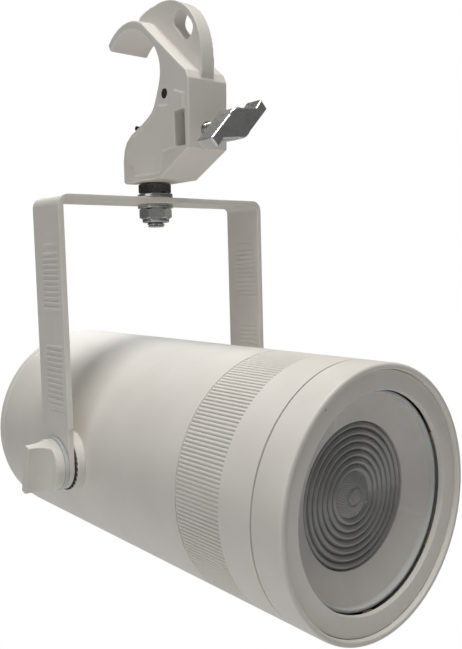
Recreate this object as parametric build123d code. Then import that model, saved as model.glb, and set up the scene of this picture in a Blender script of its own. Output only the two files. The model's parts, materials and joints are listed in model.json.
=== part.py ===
from build123d import *
import math
import os

# Compact zoom spot lamp on a yoke, hung from a hook clamp. Millimetres, +Z up.
# Origin: on the axis of the hanging tube, in the middle of the clamp.
# +X runs along the tube and the tilt axis, -Y is where the lamp shines at rest.
# "s" is the distance along the lamp's own axis from the tilt axis, forwards.

# Clearances
RUN = 0.06            # radial, a shaft or slider in its bore
EASY = 0.25           # beside a piece that swings or turns in a slot
FACE_GAP = 0.1        # between faces that turn against each other

# Lamp body, along its axis
BARREL_R = 60.0
BARREL_WALL = 2.5
REAR_LENGTH = 93.5    # tilt axis to the rear face
BARREL_REACH = 93.2   # tilt axis to the barrel's front end
KNURL_END = 0.2       # the knurl is this much longer than the zoom travel
BAND_LENGTH = 19.1
RING_GAP = 0.15       # barrel to zoom ring
GROOVE = 0.9          # zoom ring to front bezel
BEZEL_LENGTH = 16.5

# Rear cover
COVER_THICK = 6.0
SPIGOT_LENGTH = 6.0
SPIGOT_WALL = 3.0
VENT_WIDTH = 3.0
VENT_PITCH = 8.0
VENT_RISE = 8.0       # first vent above the axis
VENT_MARGIN = 6.0     # last vent inside the screw circle
ROD_INSET = 7.5       # screw circle inside the barrel's bore
ROD_R = 2.5
SCREW_R = 1.5
SCREW_HEAD_R = 3.0
SCREW_HEAD = 1.8

# Cable gland, its bore is where a flex would enter
GLAND_DROP = 32.0
GLAND_THREAD_R = 6.0
GLAND_BORE_R = 3.5
GLAND_FLANGE_AF = 15.0
GLAND_FLANGE = 4.0
GLAND_CAP_R = 7.0
GLAND_CAP = 10.0
GLAND_NUT = 3.5

# Knurl
FLUTES = 200
FLUTE_DEPTH = 0.5
FLUTE_SHARE = 0.6     # part of each pitch that is cut away

# Lens tube, glides and bezel
ZOOM_WALL = 5.74      # zoom ring's own wall
TUBE_WALL = 1.8
TUBE_FLANGE = 8.0
TUBE_FLANGE_BACK = 10.0   # flange starts this far behind the barrel's front end
TUBE_NOSE = 7.0       # tube reaches this far past the zoom ring
GLIDE = 1.6
GLIDE_LENGTH = 4.0
GLIDE_INSET = 0.5
REBATE_WALL = 2.8
REBATE_DEPTH = 4.8
LEDGE = 2.7
THROAT_DEPTH = 3.7
FACE_RING_WIDTH = 8.9
FACE_RING_THICK = 2.5
FACE_RING_PLAY = 0.3
CLIPS = 6
CLIP_PHASE = 25.0
CLIP_WIDTH = 6.0
CLIP_THICK = 0.5
CLIP_TONGUE = 0.4     # clip shows this far inside the face ring

# Zoom
ZOOM_TRAVEL = 30.0
ZOOM_TURN = 90.0
GUIDE_PINS = 3
GUIDE_PHASE = 30.0
GUIDE_PIN_R = 2.0
GUIDE_PIN_BACK = 25.0  # pins behind the bezel's front rim at rest
GROOVE_DEPTH = 3.2

# Lens carriage and lens
DISH_WIDTH = 13.5     # cup's wall to the aperture
LENS_LIP = 2.2
LENS_SET_BACK = 14.45  # aperture edge behind the rim
DISH_RISE = 5.4
DISH_WALL = 1.8
CUP_STEP = 2.54       # sleeve to cup
CUP_WALL = 1.7
CUP_RIM_BACK = 6.1     # cup rim behind the bezel rim
SLEEVE_WALL = 1.8
SLEEVE_LENGTH = 17.4
SEAT_WALL = 1.6
SEAT_DEPTH = 4.4
LENS_FLANGE_STEP = 3.1
LENS_FLANGE = 2.0
RIDGE_PITCH = 3.2
RIDGE_HEIGHT = 1.3
DOME_R = 8.6
DOME_HEIGHT = 2.4
LENS_BACK = 1.0
RETAINER_WALL = 2.6
RETAINER = 2.0

# Light engine
SINK_FRONT = 60.0
SINK_BASE = 8.0
SINK_FINS = 13
FIN_THICK = 1.6
FIN_LENGTH = 34.0
FIN_MARGIN = 3.5
BOARD_R = 19.0
BOARD = 1.6
EMITTER_R = 11.0
EMITTER = 0.8
HOLDER_R = 26.0
HOLDER = 4.6
HOLDER_SCREW_R = 22.5
REFLECTOR_THROAT_R = 12.0
REFLECTOR_INSET = 1.0  # mouth inside the lens aperture
REFLECTOR_LENGTH = 26.0
REFLECTOR_WALL = 1.0

# Driver
DRIVER_W = 66.0
DRIVER_H = 34.0
DRIVER_LENGTH = 52.0
DRIVER_SPACE = 12.0    # behind the driver, up to the rear cover
PLATE = 2.0
TERMINAL_W = 22.0
TERMINAL_H = 12.0
TERMINAL_LENGTH = 10.0

# Tilt pivots
BOSS_R = 15.4
STUD_R = 4.0
INSERT_R = 6.5
INSERT_FLANGE_R = 8.5
INSERT_FLANGE = 1.5
INSERT_DEPTH = 9.0     # inside the barrel wall
TOOTH_DISC_R = 14.8
TOOTH_DISC = 1.0
TEETH = 30
TOOTH_DEPTH = 1.1
KNOB_WASHER_R = 14.2
KNOB_WASHER = 1.9
KNOB_R = 13.5
KNOB_BASE = 5.0
KNOB_BLADE = 11.0
KNOB_TURN = 15.0       # rest position of the blade, off the upright
KNOB_BLADE_ROOT = 11.0
KNOB_BLADE_TIP = 4.6
STUD_IN_KNOB = 4.0

# Yoke
ARM_GAP = 5.5          # barrel to the arm's inner face
YOKE_THICK = 3.0
YOKE_BAR = 29.0
SWING_ROOM = 32.5      # past the gland's end up to the top of the crossbar, tilted straight down
YOKE_BEND_R = 6.0
ARM_END_STEP = 0.6
ARM_END_HEIGHT = 20.0

# Hook clamp
TUBE_R = 25.5
HOOK_WALL = 4.4
HOOK_TIP = 45.0        # angle of the hook's free end
HOOK_SHOULDER = 118.0  # angle where the hook's back runs off the round
MOUTH = 126.0          # angle where the throat leaves the tube's round
THROAT = 2.5           # throat deeper than the tube
CLAMP_WIDTH = 25.6
CLAMP_PANEL = 0.6
CLAMP_BEVEL = 0.6
CLAMP_DEPTH = 25.3     # behind the throat
BASE_DROP = 32.5       # below the tube
CLAMP_LIFT = 9.0       # crossbar top up to the clamp's base
BOLT_Y = -3.5
EYE_RIB = 8.0
EYE_SLOT_LENGTH = 19.0
EYE_SLOT_WIDTH = 10.0
EYE_SLOT_SLANT = 47.0
TONGUE_WIDTH = 8.6
TONGUE_PLAY = 0.3      # each side of the tongue
TONGUE_PIN_R = 2.5
TONGUE_BOSS_R = 5.2
TONGUE_REACH = 7.5     # tip past the tube's middle
SCREW_DROP = 10.2      # below the tube
CLAMP_SCREW_R = 4.0
SCREW_HOLD = 8.0       # screw inside the wing
PAD_R = 3.0
PAD_LENGTH = 4.0
PAD_DOME = 2.9        # rounding of the pad's tip
PAD_REST_GAP = 0.12
NUT_SIDE = 13.0
NUT_THICK = 6.4
NUT_ROOM = 1.7         # window wider than the nut is thick
WINDOW_HEIGHT = 18.1
WINDOW_RISE = 1.4      # window's middle above the screw
WINDOW_BACK = 18.4     # behind the throat
WING_TIP = (-20.4, 1.7)       # outer corners of a blade, seen along the screw
WING_TIP_FOOT = (-19.1, -4.0)
WING_WAIST = (-13.8, -2.0)
WING_ROOT = (-9.3, -4.1)
WING_DEPTH = 11.6
WING_HUB_R = 7.6
WING_NECK_R = 6.0
WING_NECK = 3.0
WING_REACH = 14.0      # back face of the clamp to the wing's blades
WING_SLANT = 30.0
WING_EDGE = 0.7

# Yoke bolt stack
BOLT_R = 5.0
BOLT_HEAD_AF = 16.0
BOLT_HEAD = 6.4
BOLT_POCKET = 7.0
BASE_WEB = 4.0         # clamp metal under the bolt head
BOLT_TAIL = 2.5
JAM_NUT_AF = 16.0
JAM_NUT = 6.0
WASHER_R = 10.0
WASHER = 2.0
FRICTION_WASHER = 0.9
LOCK_NUT_AF = 16.0
LOCK_NUT = 8.0
LOCK_COLLAR = 2.0
LOCK_COLLAR_R = 7.6

# Places that follow from the sizes above
BARREL_IN_R = BARREL_R - BARREL_WALL
YOKE_TOP_Z = -TUBE_R - BASE_DROP - CLAMP_LIFT
TILT_Z = YOKE_TOP_Z - REAR_LENGTH - GLAND_FLANGE - GLAND_CAP - SWING_ROOM
COVER_S = -REAR_LENGTH + COVER_THICK
ROD_CIRCLE_R = BARREL_IN_R - ROD_INSET
VENT_ROWS = 1 + int((ROD_CIRCLE_R - VENT_MARGIN - VENT_RISE) / VENT_PITCH)
RING_S = BARREL_REACH + RING_GAP
BAND_S = RING_S + ZOOM_TRAVEL + KNURL_END
RING_END_S = BAND_S + BAND_LENGTH
BEZEL_S = RING_END_S + GROOVE
RIM_S = BEZEL_S + BEZEL_LENGTH
RING_IN_R = BARREL_R - ZOOM_WALL
GLIDE_IN_R = RING_IN_R - GLIDE
TUBE_OUT_R = GLIDE_IN_R - RUN
TUBE_IN_R = TUBE_OUT_R - TUBE_WALL
FLANGE_S = BARREL_REACH - TUBE_FLANGE_BACK
TUBE_END_S = RING_END_S + TUBE_NOSE
PIN_S = RIM_S - GUIDE_PIN_BACK
LEDGE_S = RIM_S - REBATE_DEPTH
REBATE_R = BARREL_R - REBATE_WALL
FACE_RING_R = REBATE_R - FACE_RING_PLAY
FACE_RING_IN_R = FACE_RING_R - FACE_RING_WIDTH
SLEEVE_R = TUBE_IN_R - RUN
CUP_R = SLEEVE_R - CUP_STEP
CUP_IN_R = CUP_R - CUP_WALL
LENS_APERTURE_R = CUP_IN_R - DISH_WIDTH
LENS_FLANGE_R = LENS_APERTURE_R + LENS_FLANGE_STEP
LENS_R = LENS_APERTURE_R - EASY
LENS_RIDGES = int((LENS_R - DOME_R) / RIDGE_PITCH)
REFLECTOR_MOUTH_R = LENS_APERTURE_R - REFLECTOR_INSET
CLAMP_BASE_Z = -TUBE_R - BASE_DROP
BOLT_HEAD_Z = CLAMP_BASE_Z + BASE_WEB
ARM_IN_X = BARREL_R + ARM_GAP
YOKE_HALF_WIDTH = ARM_IN_X + YOKE_THICK
BOSS_END_X = ARM_IN_X - FACE_GAP - TOOTH_DISC
KNOB_WASHER_X = YOKE_HALF_WIDTH + FACE_GAP
KNOB_X = KNOB_WASHER_X + KNOB_WASHER
THROAT_Y = -TUBE_R - THROAT
CLAMP_BACK_Y = THROAT_Y - CLAMP_DEPTH
HEEL = (THROAT_Y, -TUBE_R)   # (y, z) behind and below the tube
TOE = (0.0, -TUBE_R)         # straight below the tube
BROW = (THROAT_Y, TUBE_R)    # behind and above the tube
PIN_YZ = (HEEL[0] - 5.5, HEEL[1] + 10.7)
LEG_FACE_Y = HEEL[0] - 4.0
SCREW_Z = -TUBE_R - SCREW_DROP
WINDOW_Y = THROAT_Y - WINDOW_BACK
SLOT_WIDTH = TONGUE_WIDTH + 2 * TONGUE_PLAY

os.makedirs("parts", exist_ok=True)


def save(name, shape):
    shape.label = name
    export_step(shape, f"parts/{name}.step")


def head(shape):
    """Puts a shape modelled with +Z along s and +Y up into its place on the lamp."""
    return Pos(0, BOLT_Y, TILT_Z) * Rot(90, 0, 0) * shape


def lathe(points):
    """A body of revolution about Z from (radius, height) points."""
    outline = make_face(Plane.XZ * Polyline(*points, close=True))
    return revolve(outline, Axis.Z)


def ring(outer, inner, low, high):
    return lathe([(inner, low), (outer, low), (outer, high), (inner, high)])


def rod(radius, low, high, at=(0, 0)):
    return Pos(at[0], at[1], low) * extrude(Circle(radius), high - low)


def hexagon(across_flats, low, high, hole=0.0):
    """A hexagonal prism with two of its flats facing +X and -X."""
    outline = RegularPolygon(across_flats / 2, 6, major_radius=False, rotation=30)
    if hole:
        outline -= Circle(hole)
    return Pos(0, 0, low) * extrude(outline, high - low)


def on_circle(radius, count, phase=0.0):
    angles = [math.radians(phase + 360 * i / count) for i in range(count)]
    return [(radius * math.cos(a), radius * math.sin(a)) for a in angles]


def from_point(start, *steps):
    """The (y, z) points that lie these steps away from one point."""
    return [(start[0] + y, start[1] + z) for y, z in steps]


def side_plate(points, width):
    """A plate in the YZ plane from (y, z) points, width wide along X."""
    outline = make_face(Plane.YZ * Polyline(*points, close=True))
    return extrude(outline, width / 2, both=True)


def along_x(shape, x, y, z, side=1):
    """Lays a shape modelled up +Z along +X or -X, starting at x."""
    return Pos(x, y, z) * Rot(0, 90 * side, 0) * shape


# ---------------------------------------------------------------- lamp body

def housing_tube():
    tube = ring(BARREL_R, BARREL_IN_R, COVER_S, BARREL_REACH)
    for side in (-1, 1):
        tube -= along_x(rod(INSERT_R, 0, BARREL_R), 0, 0, 0, side)
    return tube


def cover_screw_spots():
    return on_circle(ROD_CIRCLE_R, 4, 45)


def rear_cover():
    spigot_r = BARREL_IN_R - FACE_GAP
    cover = rod(BARREL_R, -REAR_LENGTH, COVER_S)
    cover = fillet(cover.edges().sort_by(Axis.Z)[0], 1.2)
    cover += ring(spigot_r, spigot_r - SPIGOT_WALL, COVER_S, COVER_S + SPIGOT_LENGTH)
    for row in range(VENT_ROWS):
        rise = VENT_RISE + VENT_PITCH * row
        length = 1.5 * math.sqrt(ROD_CIRCLE_R**2 - rise**2)
        slot = extrude(SlotOverall(length, VENT_WIDTH), COVER_THICK)
        cover -= Pos(0, rise, -REAR_LENGTH) * slot
    cover -= rod(GLAND_THREAD_R + RUN, -REAR_LENGTH, COVER_S, (0, -GLAND_DROP))
    for spot in cover_screw_spots():
        cover -= rod(SCREW_R + RUN, -REAR_LENGTH, COVER_S, spot)
        cover -= rod(SCREW_HEAD_R + RUN, -REAR_LENGTH, -REAR_LENGTH + SCREW_HEAD, spot)
    return cover


def rear_cover_screws():
    reach = COVER_S + SPIGOT_LENGTH + 2 * SCREW_HEAD
    screws = []
    for spot in cover_screw_spots():
        low = -REAR_LENGTH
        screw = rod(SCREW_R, low, reach, spot) + rod(SCREW_HEAD_R, low, low + SCREW_HEAD, spot)
        socket = Pos(spot[0], spot[1], low) * extrude(RegularPolygon(SCREW_R, 6), SCREW_HEAD / 2)
        screws.append(screw - socket)
    return Compound(children=screws)


def tie_rods():
    back = COVER_S
    front = SINK_FRONT - SINK_BASE
    rods = []
    for spot in cover_screw_spots():
        blind = COVER_S + SPIGOT_LENGTH + 2 * SCREW_HEAD
        rods.append(rod(ROD_R, back, front, spot) - rod(SCREW_R, back, blind, spot))
    return Compound(children=rods)


def gland_body():
    low = -REAR_LENGTH - GLAND_FLANGE
    flange = hexagon(GLAND_FLANGE_AF, low, -REAR_LENGTH)
    nose = rod(GLAND_THREAD_R, low - GLAND_CAP / 2, low)
    thread = rod(GLAND_THREAD_R, -REAR_LENGTH, COVER_S + GLAND_NUT + 1)
    bore = rod(GLAND_BORE_R, low - GLAND_CAP, COVER_S + 2 * GLAND_NUT)
    return Pos(0, -GLAND_DROP, 0) * (flange + nose + thread - bore)


def gland_cap():
    high = -REAR_LENGTH - GLAND_FLANGE
    cap = rod(GLAND_CAP_R, high - GLAND_CAP, high)
    cap = fillet(cap.edges().sort_by(Axis.Z)[0], 2.5)
    cap -= rod(GLAND_THREAD_R, high - GLAND_CAP / 2, high)
    cap -= rod(GLAND_BORE_R, high - GLAND_CAP, high)
    return Pos(0, -GLAND_DROP, 0) * cap


def gland_nut():
    nut = hexagon(GLAND_FLANGE_AF, COVER_S, COVER_S + GLAND_NUT, GLAND_THREAD_R)
    return Pos(0, -GLAND_DROP, 0) * nut


def heat_sink():
    back = SINK_FRONT - SINK_BASE
    sink = rod(BARREL_IN_R, back, SINK_FRONT)
    fin_r = BARREL_IN_R - FIN_MARGIN
    pitch = 2 * (fin_r - FIN_THICK) / (SINK_FINS - 1)
    fins = Sketch()
    for i in range(SINK_FINS):
        x = -fin_r + FIN_THICK + i * pitch
        fins += Pos(x, 0) * Rectangle(FIN_THICK, 2 * fin_r)
    fins = fins & Circle(fin_r)
    for spot in cover_screw_spots():
        fins -= Pos(*spot) * Circle(ROD_R + EASY)
    sink += Pos(0, 0, back - FIN_LENGTH) * extrude(fins, FIN_LENGTH)
    for spot in on_circle(HOLDER_SCREW_R, 2):
        sink -= rod(SCREW_R, SINK_FRONT - SINK_BASE / 2, SINK_FRONT, spot)
    return sink


def led_board():
    return rod(BOARD_R, SINK_FRONT, SINK_FRONT + BOARD)


def led_emitter():
    low = SINK_FRONT + BOARD
    return rod(EMITTER_R, low, low + EMITTER)


def led_holder():
    high = SINK_FRONT + HOLDER
    holder = ring(HOLDER_R, BOARD_R, SINK_FRONT, high)
    lip = ring(HOLDER_R, EMITTER_R + EASY, SINK_FRONT + BOARD, high)
    holder += lip
    for spot in on_circle(HOLDER_SCREW_R, 2):
        holder -= rod(SCREW_R, SINK_FRONT, high, spot)
        holder -= rod(SCREW_HEAD_R, high - SCREW_HEAD, high, spot)
    return holder


def led_holder_screws():
    high = SINK_FRONT + HOLDER
    screws = []
    for spot in on_circle(HOLDER_SCREW_R, 2):
        shank = rod(SCREW_R, SINK_FRONT - SINK_BASE / 2, high, spot)
        screws.append(shank + rod(SCREW_HEAD_R, high - SCREW_HEAD, high, spot))
    return Compound(children=screws)


def reflector():
    low = SINK_FRONT + HOLDER
    high = low + REFLECTOR_LENGTH
    w = REFLECTOR_WALL
    bulge = (REFLECTOR_MOUTH_R * 0.78, low + REFLECTOR_LENGTH * 0.42)
    inner = ThreePointArc((REFLECTOR_THROAT_R, low), bulge, (REFLECTOR_MOUTH_R, high))
    outer = ThreePointArc((REFLECTOR_MOUTH_R + w, high), (bulge[0] + w, bulge[1] - w / 2),
                          (REFLECTOR_THROAT_R + w, low))
    close_top = Line((REFLECTOR_MOUTH_R, high), (REFLECTOR_MOUTH_R + w, high))
    close_bottom = Line((REFLECTOR_THROAT_R + w, low), (REFLECTOR_THROAT_R, low))
    outline = make_face(Plane.XZ * (inner + close_top + outer + close_bottom))
    return revolve(outline, Axis.Z)


def driver_low():
    return COVER_S + DRIVER_SPACE


def driver_plate():
    low = driver_low()
    half = ROD_CIRCLE_R * math.sin(math.radians(45)) + 2 * ROD_R
    plate = Pos(0, 0, low - PLATE) * extrude(RectangleRounded(2 * half, 2 * half, 2 * ROD_R), PLATE)
    for spot in cover_screw_spots():
        plate -= rod(ROD_R, low - PLATE, low, spot)
    return plate


def driver_case():
    low = driver_low()
    box = extrude(RectangleRounded(DRIVER_W, DRIVER_H, 2), DRIVER_LENGTH)
    return Pos(0, 0, low) * box


def terminal_block():
    low = driver_low() - PLATE - TERMINAL_LENGTH
    block = extrude(Rectangle(TERMINAL_W, TERMINAL_H), TERMINAL_LENGTH)
    for i in (-1, 0, 1):
        entry = extrude(Circle(1.6), TERMINAL_LENGTH / 2)
        block -= Pos(i * TERMINAL_W / 3.4, 0, 0) * entry
    return Pos(0, 0, low) * block


# ------------------------------------------------------------ front and zoom

def guide_angles():
    return [GUIDE_PHASE + 360 * i / GUIDE_PINS for i in range(GUIDE_PINS)]


def radial_pin(radius, inner, outer, angle, s):
    pin = Rot(0, 0, angle) * Pos(inner, 0, s) * Rot(0, 90, 0) * extrude(Circle(radius), outer - inner)
    return pin


def lens_tube():
    tube = ring(TUBE_OUT_R, TUBE_IN_R, FLANGE_S, TUBE_END_S)
    tube += ring(BARREL_IN_R, TUBE_IN_R, FLANGE_S, FLANGE_S + TUBE_FLANGE)
    half = GUIDE_PIN_R + RUN
    middle = PIN_S - ZOOM_TRAVEL / 2
    length = ZOOM_TRAVEL + 2 * half
    for angle in guide_angles():
        slot = extrude(SlotOverall(length, 2 * half), 3 * TUBE_WALL)
        slot = Rot(0, 90, 0) * slot
        tube -= Rot(0, 0, angle) * Pos(TUBE_IN_R - TUBE_WALL, 0, middle) * slot
    return tube


def knurl_outline():
    step = 2 * math.pi / FLUTES
    points = []
    for i in range(FLUTES):
        a = i * step
        for share, r in ((0.0, BARREL_R), (1 - FLUTE_SHARE, BARREL_R),
                         (1 - FLUTE_SHARE / 2, BARREL_R - FLUTE_DEPTH)):
            turn = a + share * step
            points.append((r * math.cos(turn), r * math.sin(turn)))
    return make_face(Polyline(*points, close=True))


def zoom_ring():
    knurl = Pos(0, 0, RING_S) * extrude(knurl_outline() - Circle(RING_IN_R), BAND_S - RING_S)
    body = knurl + ring(BARREL_R, RING_IN_R, BAND_S, RING_END_S)
    body -= cam_grooves()
    return body


def cam_grooves():
    """Three helical grooves that drive the guide pins, one turn-range long each."""
    half = GUIDE_PIN_R + RUN
    outer = RING_IN_R + GROOVE_DEPTH
    mean = (RING_IN_R + outer) / 2
    arc = math.radians(ZOOM_TURN) * mean
    across = 2 * half * math.hypot(arc, ZOOM_TRAVEL) / ZOOM_TRAVEL
    section = Pos((outer + TUBE_IN_R) / 2, 0) * Rectangle(outer - TUBE_IN_R, across)
    groove = Solid.extrude_linear_with_rotation(
        section.face(), (0, 0, 0), (0, 0, ZOOM_TRAVEL), ZOOM_TURN)
    cuts = []
    for angle in guide_angles():
        cuts.append(Pos(0, 0, PIN_S - ZOOM_TRAVEL) * Rot(0, 0, angle - ZOOM_TURN) * groove)
        cuts.append(radial_pin(half, TUBE_IN_R, outer, angle, PIN_S))
        cuts.append(radial_pin(half, TUBE_IN_R, outer, angle - ZOOM_TURN, PIN_S - ZOOM_TRAVEL))
    return cuts


def zoom_glide(low):
    return ring(RING_IN_R, GLIDE_IN_R, low, low + GLIDE_LENGTH)


def front_bezel():
    ledge_r = REBATE_R - LEDGE
    throat_s = LEDGE_S - THROAT_DEPTH
    bezel = lathe([
        (BARREL_R, BEZEL_S), (BARREL_R, RIM_S), (REBATE_R, RIM_S), (REBATE_R, LEDGE_S),
        (ledge_r, LEDGE_S), (ledge_r, throat_s), (TUBE_OUT_R, throat_s), (TUBE_OUT_R, BEZEL_S)])
    rim = bezel.edges().group_by(Axis.Z)[-1].sort_by(SortBy.RADIUS)
    bezel = fillet(rim[-1], 1.3)
    return bezel


def face_ring():
    flat = ring(FACE_RING_R, FACE_RING_IN_R, LEDGE_S, LEDGE_S + FACE_RING_THICK)
    return fillet(flat.edges().group_by(Axis.Z)[-1].sort_by(SortBy.RADIUS)[0], 0.4)


def face_ring_clips():
    inner = FACE_RING_IN_R - CLIP_TONGUE
    outer = REBATE_R - LEDGE - EASY
    length = outer - inner
    clips = []
    for i in range(CLIPS):
        strip = Box(length, CLIP_WIDTH, CLIP_THICK)
        strip = Pos(inner + length / 2, 0, LEDGE_S - CLIP_THICK / 2) * strip
        leg = Box(CLIP_THICK, CLIP_WIDTH, 2 * CLIP_THICK)
        leg = Pos(inner + CLIP_THICK / 2, 0, LEDGE_S - CLIP_THICK) * leg
        clips.append(Rot(0, 0, CLIP_PHASE + 360 * i / CLIPS) * (strip + leg))
    return Compound(children=clips)


def lens_seat_s():
    return RIM_S - LENS_SET_BACK - LENS_LIP


def lens_carriage():
    edge = RIM_S - LENS_SET_BACK
    slope = DISH_RISE / (CUP_IN_R - LENS_APERTURE_R)
    rim = RIM_S - CUP_RIM_BACK
    seat = lens_seat_s()
    seat_r = LENS_FLANGE_R + FACE_GAP
    skirt_r = seat_r + SEAT_WALL
    shoulder = edge + 0.35 * DISH_RISE
    sleeve_low = shoulder - SLEEVE_LENGTH
    sleeve_in = SLEEVE_R - SLEEVE_WALL
    body = lathe([
        (LENS_APERTURE_R, edge), (CUP_IN_R, edge + DISH_RISE), (CUP_IN_R, rim), (CUP_R, rim),
        (CUP_R, shoulder), (SLEEVE_R, shoulder - DISH_WALL), (SLEEVE_R, sleeve_low),
        (sleeve_in, sleeve_low), (sleeve_in, shoulder - 2 * DISH_WALL),
        (CUP_IN_R, shoulder - DISH_WALL), (CUP_IN_R, edge + DISH_RISE - DISH_WALL),
        (skirt_r, edge + slope * (skirt_r - LENS_APERTURE_R) - DISH_WALL),
        (skirt_r, seat - SEAT_DEPTH), (seat_r, seat - SEAT_DEPTH), (seat_r, seat),
        (LENS_APERTURE_R, seat)])
    for angle in guide_angles():
        body -= radial_pin(GUIDE_PIN_R, sleeve_in - SLEEVE_WALL, SLEEVE_R + SLEEVE_WALL, angle, PIN_S)
    return body


def zoom_guide_pins():
    inner = SLEEVE_R - SLEEVE_WALL
    outer = RING_IN_R + GROOVE_DEPTH - EASY
    return Compound(children=[radial_pin(GUIDE_PIN_R, inner, outer, a, PIN_S) for a in guide_angles()])


def lens():
    seat = lens_seat_s()
    flange_low = seat - LENS_FLANGE
    crests = [LENS_R - RIDGE_PITCH * i for i in range(LENS_RIDGES + 1)]
    valley = seat + 0.1
    edges = Line((LENS_FLANGE_R, flange_low), (LENS_FLANGE_R, seat))
    edges += Line((LENS_FLANGE_R, seat), (LENS_R, seat)) + Line((LENS_R, seat), (LENS_R, valley))
    for i in range(LENS_RIDGES):
        middle = (crests[i] + crests[i + 1]) / 2
        edges += ThreePointArc((crests[i], valley), (middle, valley + RIDGE_HEIGHT), (crests[i + 1], valley))
    floor = (DOME_R, valley)
    edges += Line((crests[-1], valley), floor)
    dome = (DOME_R**2 + DOME_HEIGHT**2) / (2 * DOME_HEIGHT)
    half_way = valley + DOME_HEIGHT - dome + math.sqrt(dome**2 - DOME_R**2 / 4)
    edges += ThreePointArc(floor, (DOME_R / 2, half_way), (0, valley + DOME_HEIGHT))
    edges += Line((0, valley + DOME_HEIGHT), (0, flange_low - LENS_BACK))
    edges += Line((0, flange_low - LENS_BACK), (LENS_APERTURE_R - RETAINER_WALL, flange_low - LENS_BACK))
    edges += Line((LENS_APERTURE_R - RETAINER_WALL, flange_low - LENS_BACK),
                  (LENS_APERTURE_R - RETAINER_WALL, flange_low))
    edges += Line((LENS_APERTURE_R - RETAINER_WALL, flange_low), (LENS_FLANGE_R, flange_low))
    return revolve(make_face(Plane.XZ * edges), Axis.Z)


def lens_retainer():
    high = lens_seat_s() - LENS_FLANGE
    outer = LENS_FLANGE_R + FACE_GAP
    return ring(outer, outer - RETAINER_WALL, high - RETAINER, high)


# ------------------------------------------------------------- tilt pivots

def pivot_boss(side):
    boss = along_x(rod(BOSS_R, 0, BOSS_END_X), 0, 0, 0, side)
    boss -= rod(BARREL_R, -BOSS_R - 1, BOSS_R + 1)
    boss -= along_x(rod(INSERT_R, 0, BOSS_END_X), 0, 0, 0, side)
    return boss


def pivot_insert(side):
    back = BARREL_IN_R - INSERT_DEPTH
    nut = rod(INSERT_R, back, BOSS_END_X)
    flange = rod(INSERT_FLANGE_R, back, back + INSERT_FLANGE)
    bore = rod(STUD_R, back, BOSS_END_X)
    return along_x(nut + flange - bore, 0, 0, 0, side)


def tooth_disc(side):
    outline = Circle(TOOTH_DISC_R) - Circle(STUD_R + EASY)
    for i in range(TEETH):
        notch = Rectangle(2 * TOOTH_DEPTH, 0.5 * 2 * math.pi * TOOTH_DISC_R / TEETH)
        outline -= Rot(0, 0, 360 * i / TEETH) * Pos(TOOTH_DISC_R, 0) * notch
    return along_x(Pos(0, 0, BOSS_END_X) * extrude(outline, TOOTH_DISC), 0, 0, 0, side)


def knob_washer(side):
    washer = ring(KNOB_WASHER_R, STUD_R, KNOB_WASHER_X, KNOB_X)
    return along_x(washer, 0, 0, 0, side)


def tilt_knob(side):
    """A round base with one straight grip blade that flares into it."""
    tip = KNOB_BASE + KNOB_BLADE
    root = KNOB_BLADE_ROOT / 2
    point = KNOB_BLADE_TIP / 2
    knob = rod(KNOB_R, 0, KNOB_BASE)
    waist = (point + 0.25 * (root - point), KNOB_BASE + 0.4 * KNOB_BLADE)
    flank = ThreePointArc((root, KNOB_BASE), waist, (point, tip))
    top = Line((point, tip), (-point, tip))
    other = ThreePointArc((-point, tip), (-waist[0], waist[1]), (-root, KNOB_BASE))
    foot = Line((-root, KNOB_BASE), (root, KNOB_BASE))
    profile = make_face(Plane.XZ * (flank + top + other + foot))
    blade = extrude(profile, KNOB_R, both=True)
    blade &= rod(KNOB_R - 0.4, 0, tip)
    knob = knob + blade
    knob -= rod(STUD_R, 0, STUD_IN_KNOB)
    return along_x(Pos(0, 0, KNOB_X) * Rot(0, 0, side * KNOB_TURN) * knob, 0, 0, 0, side)


def tilt_stud(side):
    back = BARREL_IN_R - INSERT_DEPTH + INSERT_FLANGE
    return along_x(rod(STUD_R - RUN, back, KNOB_X + STUD_IN_KNOB), 0, 0, 0, side)


# -------------------------------------------------------------------- yoke

def yoke_arm_end(side):
    """The rounded eye at the foot of an arm, a little narrower than the arm."""
    half = YOKE_BAR / 2 - ARM_END_STEP
    tab = Rectangle(2 * half, ARM_END_HEIGHT, align=(Align.CENTER, Align.MIN))
    eye = Circle(half) + tab - Circle(STUD_R)
    outline = Plane.YZ * (Pos(BOLT_Y, TILT_Z) * eye)
    return Pos(side * ARM_IN_X, 0, 0) * extrude(outline, YOKE_THICK, dir=(side, 0, 0))


def yoke():
    foot = TILT_Z + ARM_END_HEIGHT
    w = YOKE_HALF_WIDTH
    outer = [(-w, foot), (-w, YOKE_TOP_Z), (w, YOKE_TOP_Z), (w, foot)]
    inner = [(w - YOKE_THICK, foot), (w - YOKE_THICK, YOKE_TOP_Z - YOKE_THICK),
             (YOKE_THICK - w, YOKE_TOP_Z - YOKE_THICK), (YOKE_THICK - w, foot)]
    outline = make_face(Plane.XZ * Polyline(*outer, *inner, close=True))
    band = Pos(0, BOLT_Y, 0) * extrude(outline, YOKE_BAR / 2, both=True)
    bends = band.edges().filter_by(Axis.Y).group_by(Axis.Z)
    band = fillet(bends[-1], YOKE_BEND_R)
    under = YOKE_TOP_Z - YOKE_THICK
    inside = band.edges().filter_by(Axis.Y).filter_by_position(Axis.Z, under - EASY, under + EASY)
    band = fillet(inside, YOKE_BEND_R - YOKE_THICK)
    band += yoke_arm_end(-1)
    band += yoke_arm_end(1)
    return band - rod(BOLT_R + RUN, YOKE_TOP_Z - 2 * YOKE_THICK, YOKE_TOP_Z + 1, (0, BOLT_Y))


# ------------------------------------------------------------------- clamp

def round_point(radius, angle):
    """A (y, z) point on a circle about the tube's axis."""
    turn = math.radians(angle)
    return (radius * math.cos(turn), radius * math.sin(turn))


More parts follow.
